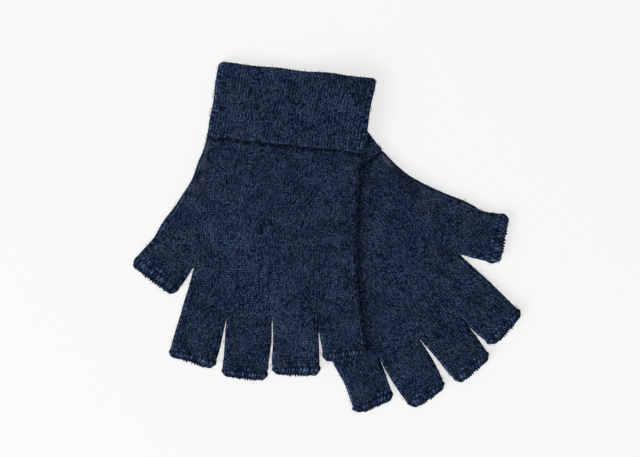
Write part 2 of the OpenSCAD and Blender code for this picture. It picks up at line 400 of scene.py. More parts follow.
def band_relief(w, c, low):
    """Coarse bumps of the thick yarn that finishes each digit."""
    row = np.floor(c + 0.5)
    column = np.floor(w + 0.5 * row)
    across = np.abs(np.sin(np.pi * (w + 0.5 * row)))
    bump = across * (0.7 + 0.3 * np.cos(2 * np.pi * c)) * (0.55 + 0.8 * hashed(column, row, 3))
    # the yarn starts low in a furrow behind the last stitches of the digit; the low relief there also makes
    # the material paint it dark, painted shade in the furrow
    return bump * (0.35 + 0.65 * smooth(c / 0.5))


class Waves:
    """A smooth random field: a few sine waves of random direction and phase."""

    def __init__(self, seed, shortest, longest, count=9):
        rng = np.random.default_rng(seed)
        length = rng.uniform(shortest, longest, count)
        angle = rng.uniform(0, 2 * np.pi, count)
        self.k = (2 * np.pi / length)[:, None] * np.stack([np.cos(angle), np.sin(angle)], -1)
        self.phase = rng.uniform(0, 2 * np.pi, count)
        self.scale = math.sqrt(2 / count)

    def at(self, p):
        total = np.zeros(p.shape[:-1])
        for k, phase in zip(self.k, self.phase):
            total += np.sin(p @ k + phase)
        return total * self.scale


UNDULATION = {side: Waves(11 + i, 22, 60) for i, side in enumerate(SIDES)}
PUCKER = {side: Waves(21 + i, 6, 14) for i, side in enumerate(SIDES)}
WANDER_X = {side: Waves(31 + i, 14, 40) for i, side in enumerate(SIDES)}
WANDER_Y = {side: Waves(41 + i, 14, 40) for i, side in enumerate(SIDES)}
UNDULATION_BY, PUCKER_BY, WANDER_BY = 0.28, 0.07, 0.22
# Points weld when they share a cell: cells a millimetre, and an offset that keeps round places apart
# from the cells' edges
WELD = 2000
WELD_OFFSET = 0.1234


# ------------------------ surfaces


class Surface:
    """Patches of grid that are welded where their points meet."""

    def __init__(self, lay, relief, depth):
        self.lay, self.relief, self.depth = lay, relief, depth
        self.parts = []

    def add(self, pos, w, c, outer=1.0, low=False, flip=False, fold=False):
        """pos is rows x columns x (x, y, height from the middle plane, half thickness)."""
        shape = pos.shape[:2]
        full = lambda v: np.broadcast_to(np.asarray(v, float), shape)
        self.parts.append(
            (pos, full(w), full(c), full(outer), full(float(low)), full(float(fold)), flip)
        )

    def build(self, name, material):
        points, wale, course, outer, low, fold, quads, start = [], [], [], [], [], [], [], 0
        for pos, w, c, out, lw, fd, flip in self.parts:
            rows, cols = pos.shape[:2]
            k = start + np.arange(rows * cols).reshape(rows, cols)
            q = np.stack([k[:-1, :-1], k[:-1, 1:], k[1:, 1:], k[1:, :-1]], -1).reshape(-1, 4)
            quads.append(q[:, ::-1] if flip else q)
            points.append(pos.reshape(-1, 4))
            for target, value in ((wale, w), (course, c), (outer, out), (low, lw), (fold, fd)):
                target.append(value.ravel())
            start += rows * cols
        points = np.concatenate(points)
        wale, course, outer, low, fold = map(np.concatenate, (wale, course, outer, low, fold))
        quads = np.concatenate(quads)
        share = np.where(fold > 0.5, FOLD_RELIEF, 1)
        # the inside has no relief, so the material paints it with the dark of the valleys: painted shade
        # inside the tubes
        relief = mix(SUNK, self.relief(wale, course, low > 0.5), share) * outer

        # weld
        key = np.round(points[:, :3] * WELD + WELD_OFFSET).astype(np.int64)
        _, first, back = np.unique(key, axis=0, return_index=True, return_inverse=True)
        back = back.ravel()
        co = points[first]
        count = np.bincount(back)
        height = np.bincount(back, relief) / count
        faces = back[quads]
        normal = self.normals(co[:, :3], faces)
        centre = co[:, :3].mean(0)
        a, b, c, d = (co[faces[:, i], :3] - centre for i in range(4))
        volume = (np.cross(b - a, c - a) * a).sum() + (np.cross(c - a, d - a) * a).sum()
        if volume < 0:
            normal = -normal
        mirrored = np.cross(self.lay.ex, self.lay.ey) < 0
        turned = (volume < 0) != mirrored

        out = np.bincount(back, outer) / count
        moved = self.shaped(co, normal, height, out)
        knit = np.stack([wale, course], -1)[quads]
        if turned:
            faces, knit = faces[:, ::-1], knit[:, ::-1]

        # loose fibres grow from random points of the outside
        outside = np.where((out > 0.99) & (co[:, 2] > -0.5 * co[:, 3]))[0]
        place_normal = self.normals(moved, faces)
        rng = np.random.default_rng(sum(map(ord, name)))
        a, b, c, d = (moved[faces[:, i], :2] for i in range(4))
        area = np.abs(np.cross(c - a, d - b)).sum() / 2 * FUZZ_SHARE
        points, sides, caps, root = fuzz(rng, moved[outside], place_normal[outside], area)
        grown = outside[root]
        new_faces = np.concatenate([sides, caps]) + len(moved)
        faces = np.concatenate([faces, new_faces])
        knit = np.concatenate([knit, np.zeros((len(new_faces), 4, 2))])
        moved = np.concatenate([moved, points])
        loose = np.concatenate([np.zeros(len(co)), np.ones(len(points))])
        height, out, normal = (np.concatenate([v, v[grown]]) for v in (height, out, normal))
        co = np.concatenate([co, co[grown]])
        moved[:, 2] = np.maximum(moved[:, 2], 0.02)
        return make_mesh(name, moved * MM, faces, knit, height, co, normal, out, loose, material)

    @staticmethod
    def normals(co, faces):
        a, b, c, d = (co[faces[:, i]] for i in range(4))
        n = np.cross(c - a, d - b)
        total = np.zeros_like(co)
        for i in range(4):
            for k in range(3):
                total[:, k] += np.bincount(faces[:, i], n[:, k], len(co))
        return total / np.maximum(np.linalg.norm(total, axis=1, keepdims=True), 1e-12)

    def shaped(self, co, normal, height, outer):
        """Base points to places in the row frame: relief, irregularities, lay and drape."""
        side = self.lay.side
        flat = co[:, :2]
        half = co[:, 3]
        p = co[:, :3] + normal * ((height - SUNK) * self.depth * outer)[:, None]
        upper = smooth((co[:, 2] / half + 1) / 2)
        p[:, 2] = np.maximum(p[:, 2], -half)
        p[:, 0] += WANDER_BY * WANDER_X[side].at(flat)
        p[:, 1] += WANDER_BY * WANDER_Y[side].at(flat)
        lift = UNDULATION_BY * UNDULATION[side].at(flat) + PUCKER_BY * PUCKER[side].at(flat)
        p[:, 2] += upper * lift
        place = self.lay.world(p[:, :2])
        z = p[:, 2] + half
        if side == "left":
            z = z + DRAPE.at(place)
        return np.concatenate([place, z[:, None]], 1)


# Loose fibres: how many on a square centimetre, on what share of the faces as seen from above, their
# length, thickness and lift
FUZZ_DENSITY = 62
FUZZ_SHARE = 0.42
FUZZ_LENGTH = (1.2, 5.5)
FUZZ_RADIUS = (0.03, 0.07)
FUZZ_LIFT = (0.05, 1.3)
FUZZ_RINGS = 6
FUZZ_SIDES = 3


def fuzz(rng, places, normals, area):
    """Loose fibres as thin closed prisms: points, faces and the place that each point grows from."""
    count = int(area / 100 * FUZZ_DENSITY)
    root = rng.choice(len(places), count)
    at, up = places[root], normals[root]
    side = unit_rows(np.cross(up, rng.normal(size=(count, 3))))
    other = np.cross(up, side)
    length = rng.uniform(0, 1, count) ** 2 * (FUZZ_LENGTH[1] - FUZZ_LENGTH[0]) + FUZZ_LENGTH[0]
    turn = rng.uniform(-2.6, 2.6, count)
    lift = rng.uniform(0, 1, count) ** 2 * (FUZZ_LIFT[1] - FUZZ_LIFT[0]) + FUZZ_LIFT[0]
    radius = rng.uniform(*FUZZ_RADIUS, count)
    t = np.linspace(0, 1, FUZZ_RINGS)
    angle = turn[:, None] * (t - 0.5)
    ahead = np.cumsum(np.cos(angle), 1) / FUZZ_RINGS
    aside = np.cumsum(np.sin(angle), 1) / FUZZ_RINGS
    rise = lift[:, None] * np.sin(np.pi * (0.08 + 0.84 * t)) - 0.06
    line = (
        at[:, None]
        + side[:, None] * (length[:, None] * (ahead - ahead.mean(1, keepdims=True)))[..., None]
        + other[:, None] * (length[:, None] * (aside - aside.mean(1, keepdims=True)))[..., None]
        + up[:, None] * rise[..., None]
    )
    tangent = unit_rows(np.gradient(line, axis=1))
    across = unit_rows(np.cross(tangent, up[:, None] + 0.01))
    third = np.cross(tangent, across)
    spin = 2 * np.pi * np.arange(FUZZ_SIDES) / FUZZ_SIDES
    taper = radius[:, None, None, None] * (1 - 0.7 * np.abs(2 * t - 1) ** 3)[None, :, None, None]
    ring = across[:, :, None] * np.cos(spin)[:, None] + third[:, :, None] * np.sin(spin)[:, None]
    points = line[:, :, None] + ring * taper
    k = np.arange(points[..., 0].size).reshape(points.shape[:3])
    after = np.roll(k, -1, 2)
    sides = np.stack([k[:, :-1], after[:, :-1], after[:, 1:], k[:, 1:]], -1).reshape(-1, 4)
    caps = np.concatenate([k[:, 0, ::-1], k[:, -1]])
    caps = np.concatenate([caps, caps[:, :1]], 1)
    return points.reshape(-1, 3), sides, caps, np.repeat(root, FUZZ_RINGS * FUZZ_SIDES)


def added(name, data):
    """A new object of the scene."""
    made = bpy.data.objects.new(name, data)
    bpy.context.scene.collection.objects.link(made)
    return made


def make_mesh(name, co, faces, knit_uv, height, base, normal, outer, loose, material):
    """The mesh with its knit coordinates, its unfolded layout for baking, and its relief."""
    distinct = np.array([faces[:, i] != faces[:, (i + 1) % 4] for i in range(4)]).sum(0)
    plain = distinct == 4
    order = np.concatenate([np.where(plain)[0], np.where(distinct == 3)[0]])
    polys, corners = [], []
    for f in order:
        keep = [i for i in range(4) if faces[f, i] != faces[f, (i + 1) % 4]]
        polys.append([int(faces[f, i]) for i in keep])
        corners.extend((f, i) for i in keep)
    corners = np.array(corners)
    mesh = bpy.data.meshes.new(name)
    mesh.from_pydata(co.tolist(), [], polys)
    mesh.polygons.foreach_set("use_smooth", np.ones(len(polys), bool))

    knit = mesh.uv_layers.new(name="Knit")
    knit.data.foreach_set("uv", knit_uv[corners[:, 0], corners[:, 1]].astype(np.float32).ravel())
    # Baking layout: the four faces of the tube, outside and inside, upper and lower, in four quarters
    lo, hi = base[:, :2].min(0), base[:, :2].max(0)
    uv = (base[:, :2] - lo) / (hi - lo) * 0.48 + 0.01
    face_up = normal[faces].mean(1)[:, 2] >= 0
    inside = outer[faces].mean(1) < 0.5
    up = face_up != inside
    shift = np.stack([np.where(up, 0.0, 0.5), np.where(inside, 0.5, 0.0)], -1)
    bake = mesh.uv_layers.new(name="OFBake")
    loop_vertex = faces[corners[:, 0], corners[:, 1]]
    bake.data.foreach_set("uv", (uv[loop_vertex] + shift[corners[:, 0]]).astype(np.float32).ravel())
    mesh.uv_layers.active = knit
    for label, values in (("relief", height), ("loose", loose)):
        stored = mesh.attributes.new(label, "FLOAT", "POINT")
        stored.data.foreach_set("value", values.astype(np.float32))
    mesh.update()
    mesh.materials.append(material)
    return added(name, mesh)


def stacked(xy, z, half):
    """Rows x columns x 2 places, heights and half thickness as one array."""
    shape = xy.shape[:-1]
    return np.concatenate(
        [xy, np.broadcast_to(z, shape)[..., None], np.broadcast_to(half, shape)[..., None]], -1
    )


def fold_patch(start, out, width, half, inset):
    """The round fold at one end of each row, from the upper face to the lower one."""
    phi = np.pi / 2 - np.linspace(0, np.pi, FOLD_COLS + 1)
    reach = np.maximum(width - inset, 0.05)[:, None] * np.cos(phi)
    xy = start[:, None, :] + out[:, None, :] * reach[..., None]
    return stacked(xy, (half - inset)[:, None] * np.sin(phi), half[:, None])


class Tube:
    """A flattened tube from rows with two ends each. Columns are wales, w0 at the first end."""

    def __init__(self, a, b, half, fold_a, fold_b, course, wales, w0=0.0, top_cols=TOP_COLS):
        self.a, self.b = np.asarray(a), np.asarray(b)
        n = len(self.a)
        full = lambda v: np.broadcast_to(np.asarray(v, float), (n,)).copy()
        self.half, self.fold_a, self.fold_b = full(half), full(fold_a), full(fold_b)
        self.course, self.wales, self.w0, self.top_cols = full(course), wales, w0, top_cols

    def face(self, q, inset, upper):
        width = np.linalg.norm(self.b - self.a, axis=1)
        s = self.fold_a[:, None] + (width - self.fold_a - self.fold_b)[:, None] * q
        xy = mix(self.a[:, None, :], self.b[:, None, :], (s / width[:, None])[..., None])
        z = (self.half - inset) * (1 if upper else -1)
        return stacked(xy, z[:, None], self.half[:, None])

    def patches(self, inset, rows=slice(None)):
        """Upper face, fold, lower face and fold, each with its wales and whether it is the lower one."""
        inset = np.broadcast_to(np.asarray(inset, float), self.half.shape)
        top_q = np.linspace(0, 1, self.wales * self.top_cols + 1)
        low_q = np.linspace(1, 0, self.wales * LOW_COLS + 1)
        w_end = self.w0 + self.wales
        along = unit_rows(self.b - self.a)
        width = np.linalg.norm(self.b - self.a, axis=1)
        flat_a = mix(self.a, self.b, (self.fold_a / width)[:, None])
        flat_b = mix(self.a, self.b, (1 - self.fold_b / width)[:, None])
        fold = np.linspace(0, FOLD_WALES, FOLD_COLS + 1)
        far = fold_patch(flat_b, along, self.fold_b, self.half, inset)
        near = fold_patch(flat_a, -along, self.fold_a, self.half, inset)[:, ::-1]
        made = [
            (self.face(top_q, inset, True), self.w0 + self.wales * top_q, False, False),
            (far, w_end + fold, False, True),
            (self.face(low_q, inset, False), w_end + FOLD_WALES + self.wales * (1 - low_q), True,
             False),
            (near, self.w0 - fold[::-1], False, True),
        ]
        return [(pos[rows], w, low, self.course[rows], bent) for pos, w, low, bent in made]


def unit_rows(v):
    return v / np.linalg.norm(v, axis=-1, keepdims=True)


def add_tube(surface, tube, wall):
    """A tube's outside, its inside on fewer rows, and a rim at each end. The wall is in the insets."""
    n = len(tube.half)
    few = sorted(set(np.linspace(0, n - 1, min(n, INNER_ROWS)).round().astype(int)))
    for outside, inside in zip(tube.patches(0), tube.patches(wall, few)):
        pos, w, low, c, bent = outside
        surface.add(pos, w, c[:, None], 1, low, fold=bent)
        surface.add(inside[0], inside[1], inside[3][:, None], 0, low, flip=True)
        for row, flip in ((0, True), (-1, False)):
            rim = np.stack([pos[row], inside[0][row]])
            at = np.full((2, 1), c[row])
            surface.add(rim, inside[1], at, [[1], [0]], low, flip=flip, fold=bent)


# ------------------------ the hand


def row_counts(shape):
    """Grid rows from the wrist to the fingers' roots, and to the thumb's."""
    rows = ROWS_A_COURSE * round(-shape.forks[0][1] / COURSE)
    return rows, round(rows * shape.thumb_in[1] / shape.forks[0][1])


def hand_surface(side):
    lay, shape = LAYOUTS[side], SHAPES[side]
    forks, thumb_in, thumb_out = shape.forks, shape.thumb_in, shape.thumb_out
    surface = Surface(lay, plain_relief, PLAIN_RELIEF)
    rows, at_thumb = row_counts(shape)
    upper, lower = np.linspace(0, 1, at_thumb + 1), np.linspace(0, 1, rows - at_thumb + 1)[1:]
    wrist = np.array([shape.thumb_x(0), 0])
    # left edge of the fingers' wales, outer edge of the thumb's gusset, and the little finger's edge
    inner = np.concatenate(
        [mix(wrist, thumb_in, upper[:, None]), mix(thumb_in, forks[0], lower[:, None])]
    )
    y = thumb_out[1] * upper
    x = shape.thumb_x(y) + (thumb_out[0] - shape.thumb_x(thumb_out[1])) * upper
    outer = np.stack([x, y], -1)
    y = forks[-1][1] * np.linspace(0, 1, rows + 1)
    x = shape.little_x(y) + (forks[-1][0] - shape.little_x(y[-1])) * y / y[-1]
    far = np.stack([x, y], -1)
    course = np.arange(rows + 1) / ROWS_A_COURSE

    fold = HAND_HALF
    share = fold / (forks[-1][0] - forks[0][0])
    fork_share = (forks[:, 0] - forks[0][0]) / (forks[-1][0] - forks[0][0])
    fork_wale = np.cumsum([0] + [WALES[d] for d in FINGERS])
    wale_of = lambda u: np.interp(u, fork_share, fork_wale)
    share_of = lambda w: np.interp(w, fork_wale, fork_share)

    def across(cols):
        """Shares of the width at every grid column that is on the flat."""
        w = np.arange(0, fork_wale[-1] * cols + 1) / cols
        u = share_of(w)
        between = (u > share + 0.002) & (u < 1 - share - 0.002)
        return np.concatenate([[share], u[between], [1 - share]])

    turn = smooth((np.arange(rows + 1) / rows - 0.55) / 0.45)

    def main(u):
        straight = mix(inner[:, None, :], far[:, None, :], u[None, :, None])
        line_y = np.interp(mix(forks[0][0], forks[-1][0], u), forks[:, 0], forks[:, 1])
        bend = line_y - mix(forks[0][1], forks[-1][1], u)
        straight[..., 1] += turn[:, None] * bend
        return straight

    top_u, low_u = across(TOP_COLS), across(LOW_COLS)[::-1]
    start, end = main(np.array([share]))[:, 0], main(np.array([1 - share]))[:, 0]
    step_in = unit_rows(main(np.array([share + 0.01]))[:, 0] - start)
    step_out = unit_rows(end - main(np.array([1 - share - 0.01]))[:, 0])
    width_in = np.linalg.norm(start - inner, axis=1)
    width_out = np.linalg.norm(far - end, axis=1)
    thick = np.full(rows + 1, HAND_HALF)
    gusset_in = start[: at_thumb + 1]
    gusset_dir = unit_rows(outer - gusset_in)
    gusset_dir[0] = -step_in[0]
    gusset_w = np.maximum(np.linalg.norm(outer - gusset_in, axis=1) - fold, 0)
    gusset_out = gusset_in + gusset_dir * gusset_w[:, None]
    pitch = np.linalg.norm(thumb_out - thumb_in) / WALES["thumb"]
    top_g = np.linspace(0, 1, WALES["thumb"] * TOP_COLS + 1)
    low_g = np.linspace(1, 0, WALES["thumb"] * LOW_COLS + 1)

    def gusset(q):
        return mix(gusset_out[:, None, :], gusset_in[:, None, :], q[None, :, None])

    def gusset_wale(q):
        return (fold + gusset_w[:, None] * q) / pitch

    def fold_wale(n):
        return np.linspace(0, FOLD_WALES, FOLD_COLS + 1)[None, :].repeat(n, 0)

    head, tail, whole = slice(0, at_thumb + 1), slice(at_thumb, rows + 1), slice(0, rows + 1)

    def patches(inset):
        z = HAND_HALF - inset
        ins = np.full(rows + 1, float(inset))
        w_end = wale_of(1 - share)
        made = [
            (head, stacked(gusset(top_g), z, HAND_HALF), gusset_wale(top_g), False),
            (whole, stacked(main(top_u), z, HAND_HALF), wale_of(top_u), False),
            (whole, fold_patch(end, step_out, width_out, thick, ins),
             w_end + fold_wale(rows + 1), False),
            (whole, stacked(main(low_u), -z, HAND_HALF),
             2 * w_end + FOLD_WALES - wale_of(low_u), True),
            (head, stacked(gusset(low_g), -z, HAND_HALF), gusset_wale(low_g), True),
        ]
        n = at_thumb + 1
        first = fold_patch(gusset_out, gusset_dir, np.full(n, fold), thick[:n], ins[:n])
        second = fold_patch(start[tail], -step_in[tail], width_in[tail], thick[tail], ins[tail])
        made.append((head, first[:, ::-1], fold / pitch - fold_wale(n)[:, ::-1], False))
        made.append((tail, second[:, ::-1],
                     wale_of(share) - fold_wale(rows + 1 - at_thumb)[:, ::-1], False))
        return made

    few = sorted(
        set(np.linspace(0, at_thumb, INNER_ROWS).round().astype(int))
        | set(np.linspace(at_thumb, rows, INNER_ROWS // 2).round().astype(int))
    )
    for (rows_in, pos, w, low), (_, pos_in, *_) in zip(patches(0), patches(KNIT_WALL)):
        c = course[rows_in][:, None]
        w = np.broadcast_to(w, pos.shape[:2])
        bent = pos.shape[1] == FOLD_COLS + 1
        surface.add(pos, w, c, 1, low, fold=bent)
        pick = [f - rows_in.start for f in few if rows_in.start <= f < rows_in.stop]
        surface.add(pos_in[pick], w[pick], c[pick], 0, low, flip=True)
        for row, flip in ((0, True), (-1, False)):
            rim = np.stack([pos[row], pos_in[row]])
            surface.add(rim, w[row], c[row], [[1], [0]], low, flip=flip, fold=bent)
    return surface


# ------------------------ digits, bands and cuffs

ROOT_INSIDE = 1.6
FORK_FOLD = 0.35
FORK_EASE = 7.0
CROTCH = 0.8
# The soft sides of neighbouring digits press together: more in the middle, less at the tip
SWELL = {"left": 0.6, "right": 1.0}
TIP_SPREAD = {"left": 0.45, "right": 0.95}
# Middle and ring finger fold towards each other, so they press together less: a share of the above
MIDDLE_GAP = {"left": 0.15, "right": 0.5}
MIDDLE_SQUEEZE = 0.5
EDGE_EASE = 16.0
# How far the gap behind index, middle and ring finger leans towards the little finger at the tips
GAP_LEAN = {
    "left": {"index": 1.2, "middle": 0.2, "ring": 0.6},
    "right": {"index": 0.6, "middle": 0.8, "ring": 1.1},
}
# Soft bands stretch a little past the CAD ones
BAND_STRETCH = {"left": 1.2, "right": 0.9}
THUMB_STRETCH = {"left": 2.2, "right": 0.9}
# How far the soft cuff leans towards the little finger, at the fold and at the mouth, and its stretch
CUFF_LEAN = {"left": (0.9, 3.0), "right": (0.0, 0.0)}
CUFF_STRETCH = 1.0


def digit_ends(shape, s):
    """Both ends of a digit's rows at distances s from its root line."""
    share = np.maximum(s / shape.reach, 0)[:, None]
    across = unit(shape.root[1] - shape.root[0])
    up = np.array([-across[1], across[0]])
    up = up * np.sign(up @ -shape.down)
    inside = up * np.maximum(-s, 0)[:, None]
    ends = []
    for k, sign in ((0, -1), (1, 1)):
        line = mix(shape.root[k], shape.tip[k], share)
        # an inner side swells towards its neighbour, and an outer one leaves along the hand's edge
        swell = SWELL[shape.side] * np.sin(np.pi * np.clip(share, 0, 1) ** 0.8)
        swell = swell + TIP_SPREAD[shape.side] * smooth(share)
        # a gap has the name of the digit on its thumb side
        gap = DIGITS[max(DIGITS.index(shape.name) - 1 + k, 0)]
        lean = GAP_LEAN[shape.side].get(gap, 0.0) * smooth(share)
        if gap == "middle":
            swell = swell * MIDDLE_GAP[shape.side]
        if shape.leaves[k] is not None:
            lean = 0
            t = np.clip(s / EDGE_EASE, 0, 1)[:, None]
            slope = shape.leaves[k] - unit(shape.tip[k] - shape.root[k])
            line = line + slope * EDGE_EASE * t * (1 - t) ** 2
            swell = 0
        ends.append(line + across * (sign * swell + lean) + inside)
    return ends


def digit_surface(side, name):
    lay, shape = LAYOUTS[side], DIGIT_SHAPES[side, name]
    surface = Surface(lay, plain_relief, PLAIN_RELIEF)
    last = shape.stall + 0.5
    s = np.concatenate([[-ROOT_INSIDE, -ROOT_INSIDE / 2], np.arange(0, last, STEP), [last]])
    a, b = digit_ends(shape, s)
    ease = FORK_FOLD + (HAND_HALF - FORK_FOLD) * smooth(s / FORK_EASE)
    outer = np.full(len(s), HAND_HALF)
    fold_a = outer if name in ("thumb", "index") else ease
    fold_b = outer if name == "little" else ease
    if name == "thumb":
        across = unit(shape.root[1] - shape.root[0])
        b = b + across * (CROTCH * (1 - smooth(s / 4)))[:, None]
    # the knit runs on from the hand, so its wales and courses are counted on
    rows, at_thumb = row_counts(SHAPES[side])
    first_course = (at_thumb if name == "thumb" else rows) / ROWS_A_COURSE
    w0 = float(sum(WALES[d] for d in FINGERS[: max(DIGITS.index(name) - 1, 0)]))
    half = HAND_HALF - 0.12 * (1 - smooth((s + ROOT_INSIDE) / (ROOT_INSIDE + 0.4)))
    tube = Tube(a, b, half, fold_a, fold_b, first_course + s / COURSE, WALES[name], w0)
    add_tube(surface, tube, KNIT_WALL)
    return surface


def rolled(length, wall, steps=6):
    """Extra rows that turn a tube's end over its rim: how far along, and how far in."""
    r = wall / 2
    angle = np.linspace(0, np.pi, steps + 1)[1:]
    return length - r + r * np.sin(angle), r - r * np.cos(angle)


def closed_tube(surface, ends_at, half_at, s_out, course_of, wales, wall, fold, inner_to,
                start_roll=0.0):
    """A tube with rolled rims: outside rows, the rim, and the inside rows back, as one run."""
    length = s_out[-1]
    s_rim, inset_rim = rolled(length, wall)
    body = s_out[s_out < length - wall / 2]
    inside = np.linspace(length - wall / 2, inner_to, 6)[1:]
    s = np.concatenate([body, [length - wall / 2], s_rim, inside])
    inset = np.concatenate([np.zeros(len(body) + 1), inset_rim, np.full(len(inside), wall)])
    if start_roll:
        angle = np.linspace(np.pi, 0, 5)[:-1]
        s = np.concatenate([s_out[0] - start_roll * np.sin(angle), s])
        inset = np.concatenate([start_roll - start_roll * np.cos(angle), inset])
    outer = 1 - smooth(inset / wall * 1.6 - 0.6)
    a, b = ends_at(s)
    tube = Tube(a, b, half_at(s), fold, fold, course_of(s), wales)
    for pos, w, low, c, bent in tube.patches(inset):
        surface.add(pos, w, c[:, None], outer[:, None], low, fold=bent)


# Bands: rounding of the corners, swell past the digit, courses, grid rows, and reach into the digit
BAND_CORNER = 3.2
BAND_BULGE = 0.2
BAND_COURSES = 2
BAND_ROWS = 14
BAND_OVERLAP = 0.4


def band_surface(side, name):
    lay, shape = LAYOUTS[side], DIGIT_SHAPES[side, name]
    surface = Surface(lay, band_relief, BAND_RELIEF)
    stretch = THUMB_STRETCH if name == "thumb" else BAND_STRETCH
    length = shape.reach - shape.stall + stretch[side]
    wales = round(np.linalg.norm(shape.tip[1] - shape.tip[0]) / BAND_PITCH)

    def ends_at(s):
        a, b = digit_ends(shape, shape.stall + s)
        across = unit_rows(b - a)
        t = np.clip((s - (length - BAND_CORNER)) / BAND_CORNER, 0, 1)
        pull = BAND_CORNER * (1 - np.sqrt(1 - t * t)) - BAND_BULGE * smooth(s)
        squeeze = MIDDLE_SQUEEZE * smooth(s)
        pull_a = pull + (squeeze if name == "ring" else 0)
        pull_b = pull + (squeeze if name == "middle" else 0)
        return a + across * pull_a[:, None], b - across * pull_b[:, None]

    half_at = lambda s: HAND_HALF + (BAND_HALF - HAND_HALF) * smooth((s + 0.3) / 1.1)
    course_of = lambda s: s / length * BAND_COURSES
    s_out = np.arange(0, length + 1e-6, length / BAND_ROWS)
    closed_tube(surface, ends_at, half_at, s_out, course_of, wales, BAND_WALL, BAND_HALF, BAND_OVERLAP)
    return surface


# Cuffs: start below the wrist line, rolled lower edge, rounding at the mouth, flare at the lower edge
CUFF_START = -0.9
CUFF_ROLL = 0.55
CUFF_INSIDE = 0.6
CUFF_CORNER = 3.0
CUFF_PULL = 2.55
CUFF_FLARE = 0.5
CUFF_FLARE_LENGTH = 4


def cuff_surface(side):
    lay, shape = LAYOUTS[side], SHAPES[side]
    node = f"{side}_cuff"
    co = lay.edges(node)[0]
    length = co[:, 1].max() + CUFF_STRETCH
    low_cut, high_cut = 0.2 * length, 0.8 * length
    cuts = [lay.span(node, np.zeros(2), Y, y) for y in (low_cut, high_cut)]
    surface = Surface(lay, rib_relief, RIB_RELIEF)
    ribs = round((cuts[1][1] - cuts[1][0]) / RIB_PITCH)

    def ends_at(s):
        ends = []
        for k, sign in ((1, 1), (0, -1)):
            slope = (cuts[1][k] - cuts[0][k]) / (high_cut - low_cut)
            c = cuts[0][k] + slope * (s - low_cut)
            t = np.clip((s - (length - CUFF_CORNER)) / CUFF_CORNER, 0, 1)
            pull = CUFF_PULL * (1 - np.sqrt(1 - t * t))
            flare = CUFF_FLARE * (1 - smooth((s - CUFF_START) / CUFF_FLARE_LENGTH))
            lean = mix(*CUFF_LEAN[side], np.clip(s / length, 0, 1))
            ends.append(np.stack([-c + sign * (pull - flare) + lean, s], -1))
        return ends

    half_at = lambda s: CUFF_HALF - 0.1 * (1 - smooth((s - CUFF_START) / 1.5))
    s_out = np.append(np.arange(CUFF_START, length, STEP), length)
    course_of = lambda s: s / COURSE
    closed_tube(surface, ends_at, half_at, s_out, course_of, ribs, CUFF_WALL, CUFF_HALF, CUFF_INSIDE,
                CUFF_ROLL)
    return surface


# ------------------------ materials


WOOL = {
    "Roughness": 0.95,
    "Specular IOR Level": 0.02,
    "Sheen Weight": 0.03,
    "Sheen Roughness": 0.6,
    "Sheen Tint": (0.35, 0.45, 0.7),
}
# DARK is painted shade, for the valleys between the stitches and the inside of the tubes; MID and LIGHT are
# the yarn's heather
DARK, MID, LIGHT = (0.0004, 0.0016, 0.0065), (0.0108, 0.0242, 0.061), (0.0212, 0.0402, 0.09)
FLECK, PURPLE = (0.033, 0.054, 0.105), (0.024, 0.027, 0.075)
HAIR_DARK, HAIR_LIGHT = (0.02, 0.034, 0.07), (0.1, 0.13, 0.2)
# How far the stitches stray and how much their legs slant, in stitches
SWAY = 0.7
SLANT = 1.1
# Waves a metre of each noise; the yarn's are waves a stitch
SWAY_WAVES = 420
YARN_WAVES = 1.3
FIBRE_WAVES = 1400
CLOUD_WAVES = 70
PURPLE_WAVES = 900
HAIR_WAVES = 120
FLECK_WAVES = (620, 1700, 700)
FLECK_TURNS = ((0.5, 0.0), (1.5, 3.1), (2.6, 7.7))
# Each stitch's own shade runs from a dark blue to a paler, greyer one
STITCH_SHADES = (0.1, 0.14, 0.2), (2.75, 2.5, 2.25)


class Graph:
    """Short ways to add and link the nodes of one material."""

    def __init__(self, material):
        self.nodes, self.links = material.node_tree.nodes, material.node_tree.links

    def put(self, socket, value):
        if isinstance(value, bpy.types.NodeSocket):
            self.links.new(value, socket)
        else:
            socket.default_value = (*value, 1) if socket.type == "RGBA" else value

    def add(self, kind, inputs, **settings):
        made = self.nodes.new(kind)
        for key, value in settings.items():
            setattr(made, key, value)
        for key, value in inputs.items():
            self.put(made.inputs[key], value)
        return made

    def attribute(self, name):
        return self.add("ShaderNodeAttribute", {}, attribute_name=name).outputs["Fac"]

    def maths(self, operation, a, b=0.0):
        return self.add("ShaderNodeMath", {0: a, 1: b}, operation=operation).outputs[0]

    def noise(self, vector, waves, detail, rough):
        inputs = {"Vector": vector, "Scale": waves, "Detail": detail, "Roughness": rough}
        return self.add("ShaderNodeTexNoise", inputs).outputs["Fac"]

    def mapped(self, vector, **inputs):
        return self.add("ShaderNodeMapping", {"Vector": vector, **inputs}).outputs["Vector"]

    def ramp(self, value, low, high):
        inputs = {"Value": value, "From Min": low, "From Max": high}
        return self.add("ShaderNodeMapRange", inputs, interpolation_type="SMOOTHSTEP").outputs["Result"]

    def mixed(self, factor, a, b, blend="MIX"):
        made = self.add("ShaderNodeMix", {}, data_type="RGBA", blend_type=blend)
        self.put(made.inputs["Factor"], factor)
        for name, value in (("A", a), ("B", b)):
            self.put(next(i for i in made.inputs if i.name == name and i.type == "RGBA"), value)
        return next(o for o in made.outputs if o.type == "RGBA")

    def shaded(self, colour, factor, low, high):
        """The colour times low where the factor is 0, and times high where it is 1."""
        return self.mixed(1.0, colour, self.mixed(factor, low, high), "MULTIPLY")


def grey(value):
    return (value, value, value)


